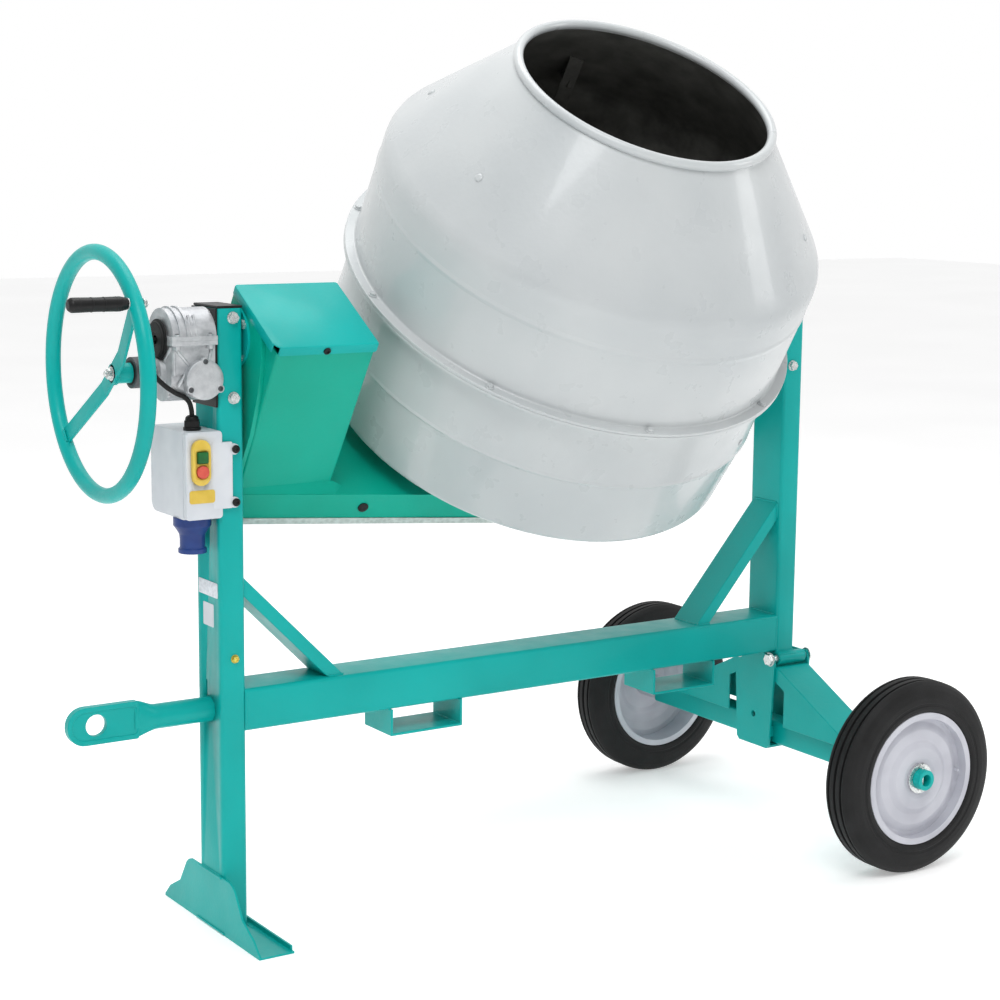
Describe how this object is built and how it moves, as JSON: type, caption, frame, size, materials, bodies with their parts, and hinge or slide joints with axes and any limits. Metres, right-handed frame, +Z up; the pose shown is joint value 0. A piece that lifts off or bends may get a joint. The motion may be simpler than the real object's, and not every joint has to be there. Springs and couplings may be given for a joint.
{
  "type": "concrete mixer",
  "caption": "Towable tilting-drum concrete mixer: steel frame on two road wheels and a foot, motor-driven drum in a tipping cradle, hand wheel tilt drive, switch box and fork pockets.",
  "frame": {"origin": "centre of the machine's outline at floor level", "axes": "+X along the main beam from the towing eye to the road wheels, +Y across the machine away from the side the drum leans to, +Z up"},
  "size_m": [1.882, 1.0025, 1.6996],
  "materials": {
    "frame_paint": "gloss",
    "cradle_paint": "gloss",
    "zinc_steel": "zinc plated",
    "cast_iron": "painted",
    "black_plastic": "satin",
    "black_rubber": "matte",
    "cast_aluminium": "as cast",
    "white_plastic": "satin",
    "yellow_plastic": "satin",
    "green_plastic": "satin",
    "red_plastic": "satin",
    "blue_plastic": "satin",
    "tyre": "ribbed",
    "rim_paint": "satin",
    "sheet_zinc": "galvanised",
    "motor_paint": "satin",
    "bright_steel": "machined",
    "drum_enamel": "gloss"
  },
  "bodies": {
    "frame": {"post_left": "frame_paint", "post_right": "frame_paint", "main_beam": "frame_paint", "brace_left": "frame_paint", "brace_right": "frame_paint", "foot": "frame_paint", "pocket_left": "frame_paint", "pocket_right": "frame_paint", "axle_beam": "frame_paint", "axle_column": "frame_paint", "strut_near": "frame_paint", "strut_far": "frame_paint", "axle_pins": "zinc_steel", "block_left": "cast_iron", "block_right": "cast_iron", "cap_left": "black_plastic", "cap_right": "black_plastic", "gearbox_plate": "black_plastic", "gearbox_lower": "cast_aluminium", "gearbox_upper": "cast_aluminium", "gearbox_cap": "cast_aluminium", "switch_body": "white_plastic", "switch_front": "white_plastic", "switch_bezel": "yellow_plastic", "power_inlet": "blue_plastic", "cable_gland": "black_plastic", "cable_grommet": "black_rubber", "motor_cable": "black_rubber", "retainer_near": "zinc_steel", "retainer_far": "zinc_steel"},
    "tow_bar": {"tow_bar": "frame_paint"},
    "hand_wheel": {"handwheel": "frame_paint", "wheel_shaft": "bright_steel"},
    "grip": {"wheel_grip": "black_plastic"},
    "start": {"start_button": "green_plastic"},
    "stop": {"stop_button": "red_plastic"},
    "wheel_near": {"rim_near": "rim_paint", "tyre_near": "tyre"},
    "wheel_far": {"rim_far": "rim_paint", "tyre_far": "tyre"},
    "cradle": {"cradle_plate": "cradle_paint", "trunnion_left": "bright_steel", "tilt_gear": "bright_steel", "cover_box": "cradle_paint", "cover_lid": "cradle_paint", "belt_casing": "cradle_paint", "bottom_cover": "sheet_zinc", "cradle_arm": "cradle_paint", "trunnion_right": "bright_steel", "motor": "motor_paint", "bearing_housing": "cast_iron", "drive_belt": "black_rubber"},
    "rotor": {"motor_pulley": "bright_steel"},
    "drum": {"drum_lower": "drum_enamel", "drum_upper": "drum_enamel", "drum_rim": "drum_enamel", "blade_a": "drum_enamel", "blade_b": "drum_enamel", "drum_shaft": "bright_steel", "drum_pulley": "bright_steel"}
  },
  "joints": [
    {"name": "cradle_tilt", "type": "hinge", "parent": "frame", "child": "cradle", "pos_m": [0, 0, 1.11], "axis": [1, 0, 0], "range_deg": [-150, 88]},
    {"name": "hand_wheel_turn", "type": "hinge", "parent": "frame", "child": "hand_wheel", "pos_m": [-0.82, 0, 1.053], "axis": [1, 0, 0], "range_deg": [-275, 465]},
    {"name": "grip_spin", "type": "hinge", "parent": "hand_wheel", "child": "grip", "pos_m": [-0.88, -0.16631, 1.18768], "axis": [1, 0, 0], "continuous": true},
    {"name": "drum_spin", "type": "hinge", "parent": "cradle", "child": "drum", "pos_m": [0.166, 0.01183, 1.11748], "axis": [0, -0.5344, 0.8453], "continuous": true},
    {"name": "motor_spin", "type": "hinge", "parent": "cradle", "child": "rotor", "pos_m": [-0.445, 0.11594, 0.84612], "axis": [0, -0.5344, 0.8453], "continuous": true},
    {"name": "wheel_near_spin", "type": "hinge", "parent": "frame", "child": "wheel_near", "pos_m": [0.741, -0.434, 0.2], "axis": [0, 1, 0], "continuous": true},
    {"name": "wheel_far_spin", "type": "hinge", "parent": "frame", "child": "wheel_far", "pos_m": [0.741, 0.434, 0.2], "axis": [0, 1, 0], "continuous": true},
    {"name": "tow_bar_slide", "type": "slide", "parent": "frame", "child": "tow_bar", "axis": [1, 0, 0], "range_m": [0, 0.1]},
    {"name": "start_press", "type": "slide", "parent": "frame", "child": "start", "axis": [0, 1, 0], "range_m": [0, 0.004], "stiffness_N_per_m": 300, "springref_m": -0.003},
    {"name": "stop_press", "type": "slide", "parent": "frame", "child": "stop", "axis": [0, 1, 0], "range_m": [0, 0.004], "stiffness_N_per_m": 300, "springref_m": -0.003}
  ],
  "couplings": [
    {"joint": "hand_wheel_turn", "follows": "cradle_tilt", "ratio": -3.0714},
    {"joint": "motor_spin", "follows": "drum_spin", "ratio": 5.0667}
  ]
}
